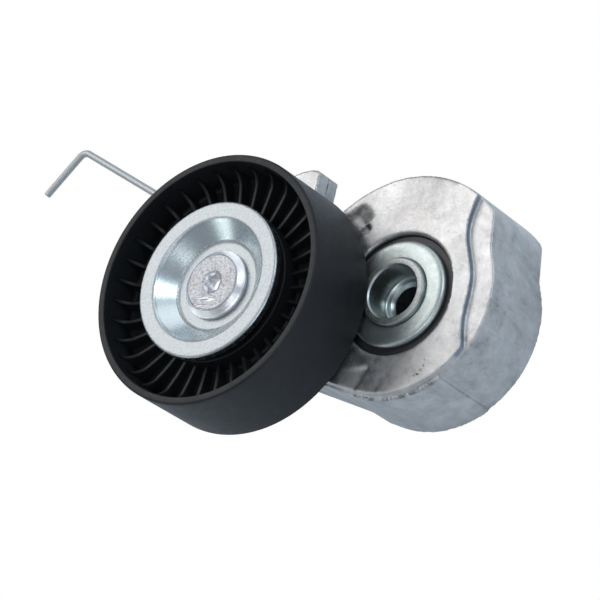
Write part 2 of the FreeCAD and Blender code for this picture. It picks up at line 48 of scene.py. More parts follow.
class Mat:
    """small builder for procedural materials"""

    def __init__(self, name):
        self.m = bpy.data.materials.new(name)
        self.m.use_nodes = True
        self.t = self.m.node_tree
        self.t.nodes.clear()
        self.out = self.n("ShaderNodeOutputMaterial")
        self.b = self.n("ShaderNodeBsdfPrincipled")
        self.l(self.b.outputs["BSDF"], self.out.inputs["Surface"])
        self.co = self.n("ShaderNodeTexCoord").outputs["Object"]

    def n(self, kind, **kw):
        nd = self.t.nodes.new(kind)
        for k, v in kw.items():
            setattr(nd, k, v)
        return nd

    def l(self, a, b):
        self.t.links.new(a, b)

    def put(self, **kw):
        for k, v in kw.items():
            k = k.replace("_", " ")
            self.b.inputs[k].default_value = v

    def mapping(self, scale=(1, 1, 1), rot=(0, 0, 0), loc=(0, 0, 0), src=None):
        m = self.n("ShaderNodeMapping")
        m.inputs["Scale"].default_value = scale
        m.inputs["Rotation"].default_value = rot
        m.inputs["Location"].default_value = loc
        self.l(src or self.co, m.inputs["Vector"])
        return m.outputs["Vector"]

    def noise(self, scale, detail=4, rough=0.55, dist=0.0, vec=None):
        nd = self.n("ShaderNodeTexNoise")
        nd.inputs["Scale"].default_value = scale
        nd.inputs["Detail"].default_value = detail
        nd.inputs["Roughness"].default_value = rough
        nd.inputs["Distortion"].default_value = dist
        self.l(vec or self.co, nd.inputs["Vector"])
        return nd.outputs["Fac"]

    def voronoi(self, scale, feature="F1", vec=None, rand=1.0):
        nd = self.n("ShaderNodeTexVoronoi", feature=feature)
        nd.inputs["Scale"].default_value = scale
        nd.inputs["Randomness"].default_value = rand
        self.l(vec or self.co, nd.inputs["Vector"])
        return nd.outputs["Distance"]

    def ramp(self, src, stops, interp="LINEAR"):
        nd = self.n("ShaderNodeValToRGB")
        cr = nd.color_ramp
        cr.interpolation = interp
        while len(cr.elements) < len(stops):
            cr.elements.new(0.5)
        for e, (p, c) in zip(cr.elements, stops):
            e.position = p
            e.color = (c, c, c, 1) if isinstance(c, (int, float)) else (*c, 1)
        self.l(src, nd.inputs["Fac"])
        return nd.outputs["Color"]

    def rng(self, src, a, b, c, d):
        nd = self.n("ShaderNodeMapRange")
        for k, v in zip(("From Min", "From Max", "To Min", "To Max"), (a, b, c, d)):
            nd.inputs[k].default_value = v
        self.l(src, nd.inputs["Value"])
        return nd.outputs["Result"]

    def math(self, op, a, b=None):
        nd = self.n("ShaderNodeMath", operation=op)
        for i, v in enumerate((a, b)):
            if v is None:
                continue
            if isinstance(v, (int, float)):
                nd.inputs[i].default_value = v
            else:
                self.l(v, nd.inputs[i])
        return nd.outputs[0]

    def mix(self, fac, a, b, blend="MIX"):
        nd = self.n("ShaderNodeMix", data_type="RGBA", blend_type=blend)
        for sock, v in ((nd.inputs[0], fac), (nd.inputs[6], a), (nd.inputs[7], b)):
            if isinstance(v, (int, float)):
                sock.default_value = v
            elif isinstance(v, tuple):
                sock.default_value = (*v, 1)
            else:
                self.l(v, sock)
        return nd.outputs[2]

    def bump(self, height, strength, dist, prev=None):
        nd = self.n("ShaderNodeBump")
        nd.inputs["Strength"].default_value = strength
        nd.inputs["Distance"].default_value = dist
        self.l(height, nd.inputs["Height"])
        if prev is not None:
            self.l(prev, nd.inputs["Normal"])
        return nd.outputs["Normal"]

    def xyz(self):
        nd = self.n("ShaderNodeSeparateXYZ")
        self.l(self.co, nd.inputs[0])
        return nd.outputs

    def near(self, p_mm, r0_mm, r1_mm):
        """1 inside r0 of the point, 0 outside r1"""
        nd = self.n("ShaderNodeVectorMath", operation="DISTANCE")
        self.l(self.co, nd.inputs[0])
        nd.inputs[1].default_value = tuple(v * 0.001 for v in p_mm)
        return self.rng(nd.outputs["Value"], r0_mm * 0.001, r1_mm * 0.001, 1.0, 0.0)

    def slab(self, normal, at_mm, half_mm, soft_mm):
        """1 within half of the plane normal . p = at"""
        nd = self.n("ShaderNodeVectorMath", operation="DOT_PRODUCT")
        self.l(self.co, nd.inputs[0])
        nd.inputs[1].default_value = normal
        d = self.math("ABSOLUTE", self.math("SUBTRACT", nd.outputs["Value"], at_mm * 0.001))
        return self.rng(d, half_mm * 0.001, (half_mm + soft_mm) * 0.001, 1.0, 0.0)

    def above(self, normal, at_mm, soft_mm=0.3):
        nd = self.n("ShaderNodeVectorMath", operation="DOT_PRODUCT")
        self.l(self.co, nd.inputs[0])
        nd.inputs[1].default_value = normal
        return self.rng(nd.outputs["Value"], (at_mm - soft_mm) * 0.001, (at_mm + soft_mm) * 0.001, 0.0, 1.0)

    def mul(self, *a):
        out = a[0]
        for b in a[1:]:
            out = self.math("MULTIPLY", out, b)
        return out

    def color(self, s):
        self.l(s, self.b.inputs["Base Color"])

    def rough(self, s):
        self.l(s, self.b.inputs["Roughness"])

    def normal(self, s):
        self.l(s, self.b.inputs["Normal"])


def cast_aluminium(name, lo=(0.27, 0.27, 0.275), hi=(0.585, 0.583, 0.58), arm=False):
    m = Mat(name)
    m.put(Metallic=1.0)
    big = m.noise(62, 4, 0.62, 0.7)
    mid = m.noise(300, 6, 0.66, 0.4)
    fine = m.noise(2100, 3, 0.6)
    flow = m.noise(120, 5, 0.68, 1.3, m.mapping((1, 1, 0.30), (0.25, 0.1, 0)))
    tone = m.math("ADD", m.math("MULTIPLY", big, 0.34), m.math("ADD", m.math("MULTIPLY", mid, 0.36),
                  m.math("MULTIPLY", flow, 0.30)))
    base = m.ramp(tone, [(0.36, lo), (0.47, tuple(0.42 * a + 0.58 * b for a, b in zip(lo, hi))), (0.60, hi)])
    # brownish stains and pale bloom left by the mould release
    stain = m.rng(m.noise(48, 3, 0.6, 1.0, m.mapping((1, 1, 1), (0, 0, 0), (0.3, 0.1, 0.2))), 0.56, 0.68, 0.0, 0.34)
    base = m.mix(stain, base, (0.36, 0.33, 0.31))
    # dark specks and small surface pores
    pore = m.voronoi(560)
    gate = m.noise(95, 2, 0.5)
    speck = m.math("MULTIPLY", m.rng(pore, 0.05, 0.11, 1.0, 0.0), m.rng(gate, 0.62, 0.70, 0.0, 1.0))
    grit = m.mul(m.rng(m.noise(1500, 2, 0.6), 0.70, 0.76, 0.0, 1.0), m.rng(m.noise(150, 2), 0.5, 0.62, 0.0, 1.0))
    speck = m.math("MAXIMUM", speck, m.math("MULTIPLY", grit, 0.6))
    depth = speck
    if arm:
        jit = m.noise(900, 4, 0.7, 0.4)
        lumps = m.rng(jit, 0.50, 0.58, 0.0, 1.0)
        # pits in the face between the hub and the plate's edge
        for p, r in (((-10.6, 24.4, 33.5), 0.75), ((-9.6, 25.3, 33.5), 0.6), ((-11.6, 23.2, 33.5), 0.45), ((-8.4, 25.9, 33.5), 0.5),
                     ((-11.5, 21.5, 33.5), 0.40), ((-7.2, 26.0, 33.5), 0.4), ((6.0, -27.5, 33.5), 0.35), ((-2.0, -31.0, 33.5), 0.3)):
            depth = m.math("MAXIMUM", depth, m.mul(m.near(p, r * 0.35, r), lumps))
        # ragged casting flash under the plate's lower edge, coloured near-black as painted shade beneath the edge
        rag_flash_painted_shade = m.mul(m.slab((0, 0, 1), 31.35, 0.32, 0.28), m.above((0, 1, 0), 27.0, 1.0),
                    m.above((1, 0, 0), -14.0, 1.0), m.rng(m.noise(420, 4, 0.7, 0.5), 0.47, 0.56, 0.0, 1.0))
        # the mould's parting crease down the wall, and across the ear's side: dark lines painted as the shade in the
        # crease's step
        a = math.radians(121.0)
        crease_painted_shade = m.mul(m.slab((-math.sin(a), math.cos(a), 0), 0.0, 0.10, 0.22), m.above((math.cos(a), math.sin(a), 0), 28.5, 0.5),
                       m.above((0, 0, -1), -32.0, 0.2), m.rng(jit, 0.36, 0.50, 0.35, 1.0))
        ear_crease_painted_shade = m.mul(m.slab((0, 0, 1), 28.9, 0.12, 0.24), m.above((0, -1, 0), 25.0, 1.0), m.above((1, 0, 0), 29.5, 0.5),
                    m.rng(jit, 0.44, 0.54, 0.15, 1.0))
        depth = m.math("MAXIMUM", depth, m.math("MAXIMUM", m.math("MULTIPLY", rag_flash_painted_shade, 0.62), m.math("MULTIPLY", crease_painted_shade, 0.36)))
        depth = m.math("MAXIMUM", depth, m.math("MULTIPLY", ear_crease_painted_shade, 0.85))
    # near-black specks, pores and pits; on the arm this also lays the painted shade of the crease, the ear and under
    # the plate's edge
    base = m.mix(m.math("MULTIPLY", depth, 0.86), base, (0.035, 0.04, 0.042))
    if arm:
        # painted shade: the groove's wall under the face is coloured dark blue for the shade and dark reflection in it
        groove_painted_shade = m.mul(m.slab((1, 0, 0), -22.7, 1.5, 0.6), m.above((0, 0, 1), 31.98, 0.10), m.above((0, 0, -1), -33.32, 0.10),
                       m.above((0, -1, 0), -25.2, 0.8))
        base = m.mix(m.math("MULTIPLY", groove_painted_shade, 0.62), base, (0.15, 0.205, 0.27))
        # painted shade: the recess wall around the washer, 15.0 to 18.8 mm from the pivot, is coloured near-black
        sp = m.xyz()
        rad = m.math("SQRT", m.math("ADD", m.math("MULTIPLY", sp[0], sp[0]), m.math("MULTIPLY", sp[1], sp[1])))
        recess_painted_shade = m.mul(m.rng(rad, 0.0184, 0.0188, 1.0, 0.0), m.rng(rad, 0.0150, 0.0155, 0.0, 1.0), m.above((0, 0, -1), -32.3, 0.8),
                    m.above((0, 0, 1), 29.5, 0.3))
        base = m.mix(m.math("MULTIPLY", recess_painted_shade, 0.66), base, (0.03, 0.033, 0.035))
    # a few fine scratches
    scr = m.noise(1150, 2, 0.7, 0.0, m.mapping((0.05, 1, 1), (0.2, 0.1, 0.7)))
    line = m.mul(m.rng(scr, 0.66, 0.71, 0.0, 1.0), m.rng(m.noise(70, 2), 0.52, 0.62, 0.0, 1.0))
    scr2 = m.noise(1250, 2, 0.7, 0.0, m.mapping((1, 0.05, 1), (0.1, 0.2, -0.5)))
    line2 = m.mul(m.rng(scr2, 0.67, 0.71, 0.0, 1.0), m.rng(m.noise(60, 2, 0.5, 0, m.mapping(loc=(0.2, 0, 0))), 0.52, 0.62, 0.0, 1.0))
    base = m.mix(m.math("MULTIPLY", line, 0.20), base, (0.8, 0.8, 0.8))
    base = m.mix(m.math("MULTIPLY", line2, 0.35), base, (0.16, 0.165, 0.17))
    m.color(base)
    r = m.rng(m.math("ADD", m.math("MULTIPLY", mid, 0.6), m.math("MULTIPLY", fine, 0.4)), 0.3, 0.7, 0.38, 0.58)
    m.rough(m.math("MAXIMUM", r, m.math("MULTIPLY", depth, 0.8)))
    h = m.math("ADD", m.math("MULTIPLY", mid, 0.55), m.math("ADD", m.math("MULTIPLY", fine, 0.18), m.math("MULTIPLY", big, 0.4)))
    h = m.math("SUBTRACT", h, m.math("MULTIPLY", depth, 0.9))
    m.normal(m.bump(h, 0.6, 0.00038))
    return m.m


def zinc(name, base=(0.62, 0.66, 0.67), rough=(0.20, 0.34), grain=2600, bump=0.16, mottled=0.5, tint=(0.50, 0.60, 0.66),
         spark_to=0.22, zone=None, zone_base=None, zone_rough=None, marks=None,
         zone_c=(0.74, 1.26), smooth=1.0):
    m = Mat(name)
    m.put(Metallic=1.0)
    big = m.noise(110, 3, 0.6, 0.8)
    mid = m.noise(700, 4, 0.6, 0.2)
    fine = m.noise(grain, 3, 0.7)
    spark = m.voronoi(grain * 0.55)
    c = m.mix(m.rng(big, 0.35, 0.65, 0.0, mottled), base, tint)
    c = m.mix(m.rng(spark, 0.1, 0.7, 0.0, spark_to), c, tuple(min(1, v * 1.5) for v in base))
    r = m.rng(m.math("ADD", m.math("MULTIPLY", mid, 0.5), m.math("MULTIPLY", fine, 0.5)), 0.3, 0.7, *rough)
    h = m.math("ADD", m.math("MULTIPLY", fine, 0.5), m.math("MULTIPLY", mid, 0.5))
    if zone:
        mask = m.above((0, 0, 1), zone[0], zone[1])
        if len(zone) > 2:
            mask = m.math("MAXIMUM", mask, m.above((0, 0, -1), -zone[2], zone[1]))
        gr = m.noise(1500, 3, 0.75)
        zc = m.mix(m.rng(gr, 0.35, 0.65, 0.0, 1.0), tuple(v * zone_c[0] for v in zone_base), tuple(min(1, v * zone_c[1]) for v in zone_base))
        zr = m.rng(gr, 0.3, 0.7, *zone_rough)
        c = m.mix(mask, c, zc)
        nd = m.n("ShaderNodeMix", data_type="FLOAT")
        m.l(mask, nd.inputs[0]); m.l(r, nd.inputs[2]); m.l(zr, nd.inputs[3])
        r = nd.outputs[0]
        h = m.math("ADD", m.math("MULTIPLY", h, smooth), m.mul(mask, gr))
    if marks:
        st = m.noise(1500, 2, 0.6, 0.0, m.mapping((0.10, 1.0, 1.0), (0, 0, math.radians(marks))))
        st = m.rng(st, 0.56, 0.66, 0.0, 1.0)
        ar = m.near((PX + 2.0, 6.0, 59.0), 2.0, 5.5)
        c = m.mix(m.mul(st, ar, m.math("ADD", 0.75, 0.0)), c, (0.95, 0.95, 0.97))
        h = m.math("SUBTRACT", h, m.mul(st, ar))
    m.color(c)
    m.rough(r)
    m.normal(m.bump(h, bump, 0.0002))
    return m.m


def black_moulded(name, base=(0.0078, 0.0090, 0.0105), rough=(0.44, 0.58), spec=0.27):
    m = Mat(name)
    m.put(Metallic=0.0, Specular_IOR_Level=spec)
    big = m.noise(60, 3, 0.55, 0.4)
    mid = m.noise(450, 4, 0.6)
    fine = m.noise(3200, 3, 0.65)
    c = m.ramp(big, [(0.3, tuple(x * 0.85 for x in base)), (0.7, tuple(x * 1.35 for x in base))])
    dust = m.rng(fine, 0.66, 0.74, 0.0, 0.20)
    c = m.mix(dust, c, (0.16, 0.17, 0.18))
    m.color(c)
    m.rough(m.rng(m.math("ADD", m.math("MULTIPLY", mid, 0.5), m.math("MULTIPLY", fine, 0.5)), 0.3, 0.7, *rough))
    m.normal(m.bump(m.math("ADD", m.math("MULTIPLY", mid, 0.4), m.math("MULTIPLY", fine, 0.6)), 0.22, 0.00018))
    return m.m


def polymer(name, base, rough=(0.40, 0.6)):
    m = Mat(name)
    big = m.noise(140, 3, 0.55, 0.3)
    fine = m.noise(2400, 3, 0.65)
    c = m.ramp(big, [(0.3, tuple(x * 0.8 for x in base)), (0.7, tuple(min(1, x * 1.15) for x in base))])
    m.color(c)
    m.rough(m.rng(fine, 0.3, 0.7, *rough))
    m.normal(m.bump(fine, 0.2, 0.00015))
    return m.m


def ground_steel(name, base=(0.62, 0.62, 0.63), rough=(0.14, 0.28), dark=0.55):
    m = Mat(name)
    m.put(Metallic=1.0)
    turn = m.noise(1500, 3, 0.6, 0.0, m.mapping((0.15, 0.15, 1.0)))
    fine = m.noise(2600, 3, 0.6)
    big = m.noise(120, 3, 0.6)
    c = m.ramp(big, [(0.3, tuple(x * dark for x in base)), (0.7, base)])
    m.color(c)
    m.rough(m.rng(turn, 0.3, 0.7, *rough))
    m.normal(m.bump(m.math("ADD", m.math("MULTIPLY", turn, 0.7), m.math("MULTIPLY", fine, 0.3)), 0.15, 0.00012))
    return m.m


M_ARM = cast_aluminium("cast_arm_mat", arm=True)
M_BASE = cast_aluminium("cast_base_mat", (0.28, 0.28, 0.285), (0.55, 0.55, 0.55))
M_COVER = zinc("dust_cover_zinc", (0.60, 0.66, 0.675), (0.24, 0.30), 2200, 0.30, 0.4, (0.53, 0.61, 0.64), 0.06,
               (61.25, 0.12, 56.5), (0.385, 0.41, 0.42), (0.44, 0.58), None, (0.76, 1.22), 0.22)
M_WASHER = zinc("washer_zinc", (0.41, 0.45, 0.44), (0.33, 0.46), 1700, 0.42, 0.5, (0.33, 0.385, 0.38))
M_TUBE = zinc("tube_zinc", (0.46, 0.50, 0.495), (0.26, 0.38), 2200, 0.06, 0.6, (0.38, 0.44, 0.435), 0.1,
              (35.4, 0.15), (0.38, 0.40, 0.395), (0.38, 0.5))
M_BOLT = zinc("bolt_zinc", (0.74, 0.745, 0.77), (0.26, 0.42), 1100, 0.9, 0.4, (0.62, 0.63, 0.66), 0.2,
              (58.75, 0.15), (0.385, 0.39, 0.405), (0.34, 0.56), 35, (0.52, 1.5))
M_PIN = zinc("pin_zinc", (0.42, 0.435, 0.44), (0.50, 0.54), 300, 0.0, 0.3, (0.38, 0.40, 0.41), 0.0)
M_PIN.node_tree.nodes["Principled BSDF"].inputs["Metallic"].default_value = 0.7
M_SHIELD = zinc("shield_zinc", (0.62, 0.66, 0.66), (0.22, 0.34), 2400, 0.16)
M_PULLEY = black_moulded("pulley_black")
M_LINER = polymer("liner_black_mat", (0.022, 0.022, 0.024))
M_BUSH = polymer("bush_polymer_mat", (0.45, 0.40, 0.28))
M_CAGE = polymer("cage_polymer_mat", (0.32, 0.20, 0.08))
M_SEAL = polymer("seal_rubber_mat", (0.016, 0.016, 0.016), (0.5, 0.7))
M_SPRING = ground_steel("spring_steel_mat", (0.20, 0.20, 0.215), (0.28, 0.45), 0.5)
M_BEARING = ground_steel("bearing_steel_mat")

# ------------------------------------------------------------------ mesh helpers


def link(name, bm_or_mesh, mat, sharp=32):
    if isinstance(bm_or_mesh, bmesh.types.BMesh):
        me = bpy.data.meshes.new(name)
        bm_or_mesh.to_mesh(me)
        bm_or_mesh.free()
    else:
        me = bm_or_mesh
    o = bpy.data.objects.new(name, me)
    scene.collection.objects.link(o)
    me.materials.clear()
    me.materials.append(mat)
    me.polygons.foreach_set("use_smooth", [True] * len(me.polygons))
    if sharp:
        me.set_sharp_from_angle(angle=math.radians(sharp))
    return o


def round_loop(pts, seg=5):
    """closed outline of (r, z[, radius]); corners with a radius become arcs"""
    out = []
    n = len(pts)
    for i, p in enumerate(pts):
        rad = p[2] if len(p) > 2 else 0.0
        b = Vector(p[:2])
        if rad <= 0:
            out.append(tuple(b))
            continue
        a, c = Vector(pts[i - 1][:2]), Vector(pts[(i + 1) % n][:2])
        u, w = (a - b), (c - b)
        lu, lw = u.length, w.length
        u.normalize(); w.normalize()
        ang = math.acos(max(-1, min(1, u.dot(w))))
        if abs(math.pi - ang) < 0.02:
            out.append(tuple(b))
            continue
        d = min(rad / math.tan(ang / 2), 0.49 * lu, 0.49 * lw)
        r = d * math.tan(ang / 2)
        bis = (u + w).normalized()
        cen = b + bis * (r / math.sin(ang / 2))
        s, e = b + u * d, b + w * d
        a0 = math.atan2(s.y - cen.y, s.x - cen.x)
        a1 = math.atan2(e.y - cen.y, e.x - cen.x)
        da = (a1 - a0 + math.pi) % (2 * math.pi) - math.pi
        for k in range(seg + 1):
            t = a0 + da * k / seg
            out.append((cen.x + r * math.cos(t), cen.y + r * math.sin(t)))
    return out


def lathe(loop, segs=192, cx=0.0, cy=0.0, wob=None):
    """closed outline (r, z) in mm turned about a vertical axis -> bmesh in metres"""
    bm = bmesh.new()
    n = len(loop)
    rings = []
    for s in range(segs):
        a = 2 * math.pi * s / segs
        c, sn = math.cos(a), math.sin(a)
        rings.append([bm.verts.new(((cx + r * c) * MM, (cy + r * sn) * MM, z * MM)) for r, z in loop])
    area = sum(loop[i][0] * loop[(i + 1) % n][1] - loop[(i + 1) % n][0] * loop[i][1] for i in range(n))
    for s in range(segs):
        A, B = rings[s], rings[(s + 1) % segs]
        for i in range(n):
            j = (i + 1) % n
            f = (A[i], A[j], B[j], B[i]) if area < 0 else (A[i], B[i], B[j], A[j])
            bm.faces.new(f)
    bmesh.ops.recalc_face_normals(bm, faces=bm.faces)
    return bm


def subdiv_line(loop, step):
    """adds points so that no run of the outline is longer than step"""
    out = []
    n = len(loop)
    for i in range(n):
        a, b = loop[i], loop[(i + 1) % n]
        d = math.hypot(b[0] - a[0], b[1] - a[1])
        k = max(1, int(math.ceil(d / step)))
        for j in range(k):
            t = j / k
            out.append((a[0] + (b[0] - a[0]) * t, a[1] + (b[1] - a[1]) * t))
    return out


def copy_node(node):
    me = N[node].data.copy()
    return me


def apply_mods(o):
    dg = bpy.context.evaluated_depsgraph_get()
    me = bpy.data.meshes.new_from_object(o.evaluated_get(dg))
    old = o.data
    o.modifiers.clear()
    o.data = me
    return o


def soften(node, name, mat, voxel, smooth=2, tris=190000, sharp=None, pockets=()):
    """closed CAD mesh remeshed finely and relaxed, so that every edge gets a small cast radius"""
    me = copy_node(node)
    o = bpy.data.objects.new(name, me)
    scene.collection.objects.link(o)
    bm = bmesh.new(); bm.from_mesh(me)
    bmesh.ops.remove_doubles(bm, verts=bm.verts, dist=1e-7)
    bm.to_mesh(me); bm.free()
    r = o.modifiers.new("r", "REMESH"); r.mode = "VOXEL"; r.voxel_size = voxel * MM; r.use_smooth_shade = True
    s = o.modifiers.new("s", "SMOOTH"); s.factor = 0.5; s.iterations = smooth
    apply_mods(o)
    if pockets:
        c = np.zeros(len(o.data.vertices) * 3)
        o.data.vertices.foreach_get("co", c)
        c = c.reshape(-1, 3) / MM
        for (x0, x1, y0, y1, z0, it) in pockets:
            g = o.vertex_groups.new(name="g")
            m = (c[:, 0] > x0) & (c[:, 0] < x1) & (c[:, 1] > y0) & (c[:, 1] < y1) & (c[:, 2] > z0) & (np.hypot(c[:, 0], c[:, 1]) > 19.6)
            g.add([int(i) for i in np.nonzero(m)[0]], 1.0, "REPLACE")
            q = o.modifiers.new("p", "SMOOTH"); q.factor = 0.5; q.iterations = it; q.vertex_group = g.name
            apply_mods(o)
            o.vertex_groups.clear()
    n = sum(len(p.vertices) - 2 for p in o.data.polygons)
    if n > tris:
        d = o.modifiers.new("d", "DECIMATE"); d.ratio = tris / n
        apply_mods(o)
    me = o.data
    me.materials.clear(); me.materials.append(mat)
    me.polygons.foreach_set("use_smooth", [True] * len(me.polygons))
    if sharp:
        me.set_sharp_from_angle(angle=math.radians(sharp))
    o["tris0"] = n
    return o


def give(piece, body, *nodes):
    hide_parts(*nodes)
    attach(piece, body)
    return piece


def paint(node, mat):
    me = N[node].data
    me.materials.clear()
    me.materials.append(mat)
    me.polygons.foreach_set("use_smooth", [True] * len(me.polygons))
    me.set_sharp_from_angle(angle=math.radians(32))

# ------------------------------------------------------------------ castings

arm = soften("arm_casting", "arm_casting_visual", M_ARM, 0.42, 3, pockets=((6.5, 30, -36, -20, 31.0, 10), (6.5, 22, 19.5, 28.8, 31.5, 5)))
co = np.zeros(len(arm.data.vertices) * 3)
arm.data.vertices.foreach_get("co", co)
co = co.reshape(-1, 3) / MM
m = (co[:, 0] < -17.5) & (co[:, 2] > 33.16) & (np.abs(co[:, 1]) < 32)
co[m, 2] = 33.5
arm.data.vertices.foreach_set("co", (co * MM).ravel())
arm.data.update()
give(arm, "arm", "arm_casting")
base = give(soften("base_casting", "base_casting_visual", M_BASE, 0.42, 2, 120000), "base", "base_casting")




# ------------------------------------------------------------------ turned and pressed parts


def arc3(a, m, b, k=6):
    (x1, y1), (x2, y2), (x3, y3) = a, m, b
    d = 2 * (x1 * (y2 - y3) + x2 * (y3 - y1) + x3 * (y1 - y2))
    if abs(d) < 1e-9:
        return [b]
    ux = ((x1 ** 2 + y1 ** 2) * (y2 - y3) + (x2 ** 2 + y2 ** 2) * (y3 - y1) + (x3 ** 2 + y3 ** 2) * (y1 - y2)) / d
    uy = ((x1 ** 2 + y1 ** 2) * (x3 - x2) + (x2 ** 2 + y2 ** 2) * (x1 - x3) + (x3 ** 2 + y3 ** 2) * (x2 - x1)) / d
    r = math.hypot(x1 - ux, y1 - uy)
    t1, t2, t3 = (math.atan2(y - uy, x - ux) for x, y in (a, m, b))
    ccw = (t2 - t1) % (2 * math.pi) < (t3 - t1) % (2 * math.pi)
    sweep = (t3 - t1) % (2 * math.pi) if ccw else -((t1 - t3) % (2 * math.pi))
    return [(ux + r * math.cos(t1 + sweep * i / k), uy + r * math.sin(t1 + sweep * i / k)) for i in range(1, k + 1)]


def outline(pts, k=7):
    """(r, z) corners; an entry (r, z, (rm, zm)) is reached by an arc through rm, zm"""
    out = []
    n = len(pts)
    for i in range(n):
        a, nx = pts[i], pts[(i + 1) % n]
        if i == 0:
            out.append(tuple(a[:2]))
        if len(nx) == 3:
            out += arc3(tuple(a[:2]), nx[2], tuple(nx[:2]), k)
        elif i < n - 1:
            out.append(tuple(nx[:2]))
    if len(pts[0]) == 3:
        out = out[:-1]
    return out


def soft_corners(loop, rad, seg=4, min_turn=0.30):
    """rounds each corner that turns by more than min_turn"""
    n = len(loop)
    pts = []
    for i in range(n):
        a, b, c = (Vector(loop[(i + j) % n]) for j in (-1, 0, 1))
        u, w = (b - a), (c - b)
        if u.length < 1e-6 or w.length < 1e-6:
            continue
        turn = abs(u.angle_signed(w))
        pts.append((b.x, b.y, rad) if turn > min_turn and b.x > 0.01 else (b.x, b.y))
    return round_loop(pts, seg)


# ------------------------------------------------------------------ pulley wheel

FIN_N, FIN_T, FIN_A0 = 35, 1.1, -0.47
RI, HUB = 35.72, 23.4
W0, W1 = 47.0, 49.4


def wheel_mesh():
    out = [
        (38.0, 37.2), (38.0, 61.6), (37.3, 62.3, (37.795, 62.095)), (36.07, 62.3), (35.72, 61.95, (35.82, 62.2)),
        (35.47, W1 + 1.2), (34.22, W1, (35.07, W1 + 0.35)), (24.4, W1), (23.4, W1 + 1.0, (23.7, W1 + 0.3)),
        (23.1, 55.6), (22.7, 56.0, (23.0, 55.9)), (18.7, 56.0), (18.7, 55.0), (20.0, 55.0), (20.0, 43.0), (18.7, 43.0),
        (18.7, 42.0), (22.7, 42.0), (23.1, 42.4, (23.0, 42.1)), (23.4, W0 - 1.0), (24.4, W0, (23.7, W0 - 0.3)),
        (34.22, W0), (35.47, W0 - 1.2, (35.07, W0 - 0.35)), (35.72, 36.85), (36.07, 36.5, (35.82, 36.6)), (37.3, 36.5)]
    loop = outline(out, 6)
    loop += arc3((37.3, 36.5), (37.795, 36.705), (38.0, 37.2), 6)[:-1]
    bm = lathe(subdiv_line(loop, 1.6), 240, PX)
    # ribs: a profile (r, z, normal) swept across the rib's thickness with a rounded crest
    def crest(pa, pm, pb, k):
        return [pa] + arc3(pa, pm, pb, k)
    front = crest((35.6, 58.9), (34.72, 55.6), (32.2, 53.45), 14) + arc3((32.2, 53.45), (28.6, 52.85), (22.8, 52.5), 10)
    rear = crest((35.6, 37.9), (34.72, 40.8), (32.2, 42.75), 14) + arc3((32.2, 42.75), (28.6, 43.4), (22.8, 43.8), 10)
    rad = 0.34
    for prof, web, sg in ((front, W1, 1), (rear, W0, -1)):
        nrm = []
        for i in range(len(prof)):
            p, q = prof[max(0, i - 1)], prof[min(len(prof) - 1, i + 1)]
            t = Vector((q[0] - p[0], q[1] - p[1])).normalized()
            n = Vector((-t.y, t.x))
            if n.y * sg < 0:
                n = -n
            nrm.append(n)
        for f in range(FIN_N):
            az = math.radians(360.0 / FIN_N * f + FIN_A0)
            ca, sa = math.cos(az), math.sin(az)
            rows = []
            for (r, z), n in zip(prof, nrm):
                sec = []
                hw = FIN_T / 2
                low = web - sg * 0.3
                for tt, zz in ((hw + 0.42, low), (hw + 0.12, web + sg * 0.22), (hw, web + sg * 0.75)):
                    if sg * (z - zz) > rad + 0.1:
                        sec.append((r, -tt, zz))
                    else:
                        sec.append((r, -tt, z - sg * (rad + 0.1)))
                for k in range(7):
                    ph = -math.pi / 2 + math.pi * k / 6
                    off = (hw - rad) * (1 if ph > 0 else -1 if ph < 0 else 0)
                    t = off + rad * math.sin(ph)
                    dn = rad * (1 - math.cos(ph))
                    sec.append((r - n.x * dn, t, z - n.y * dn))
                for i in (2, 1, 0):
                    q = sec[i]
                    sec.append((q[0], -q[1], q[2]))
                rows.append([bm.verts.new(((PX + rr * ca - t * sa) * MM, (rr * sa + t * ca) * MM, zz * MM)) for rr, t, zz in sec])
            m = len(rows[0])
            for A, B in zip(rows, rows[1:]):
                for j in range(m):
                    bm.faces.new((A[j], A[(j + 1) % m], B[(j + 1) % m], B[j]))
            bm.faces.new(rows[0])
            bm.faces.new(rows[-1])
    bmesh.ops.recalc_face_normals(bm, faces=bm.faces)
    return bm


wheel = link("pulley_wheel_visual", wheel_mesh(), M_PULLEY, 38)
give(wheel, "pulley", "pulley_wheel")

# ------------------------------------------------------------------ washer, tube, cover, bolt

Z_W, T_W = 32.3, 2.0
zt = Z_W + T_W
washer = link("front_thrust_washer_visual", lathe(subdiv_line(soft_corners(outline([
    (10.15, Z_W), (15.85, Z_W), (16.15, Z_W + 0.3), (16.15, Z_W + 0.75),
    (15.0, zt - 0.12, (15.73, Z_W + 1.55)), (14.45, zt), (10.7, zt), (10.15, zt - 0.4)]), 0.12), 1.0), 256), M_WASHER)
give(washer, "base", "front_thrust_washer")

tube = link("pivot_tube_visual", lathe(subdiv_line(soft_corners(outline([
    (5.25, 0.0), (11.0, 0.0), (11.0, Z_W), (10.15, Z_W), (10.15, 35.2), (9.65, 35.7, (10.0, 35.55)),
    (8.35, 35.7), (7.9, 35.25), (7.9, 27.5), (7.0, 26.6, (7.64, 26.86)), (6.2, 26.6), (5.25, 25.65)]), 0.10), 1.2), 256), M_TUBE)
give(tube, "base", "pivot_tube")

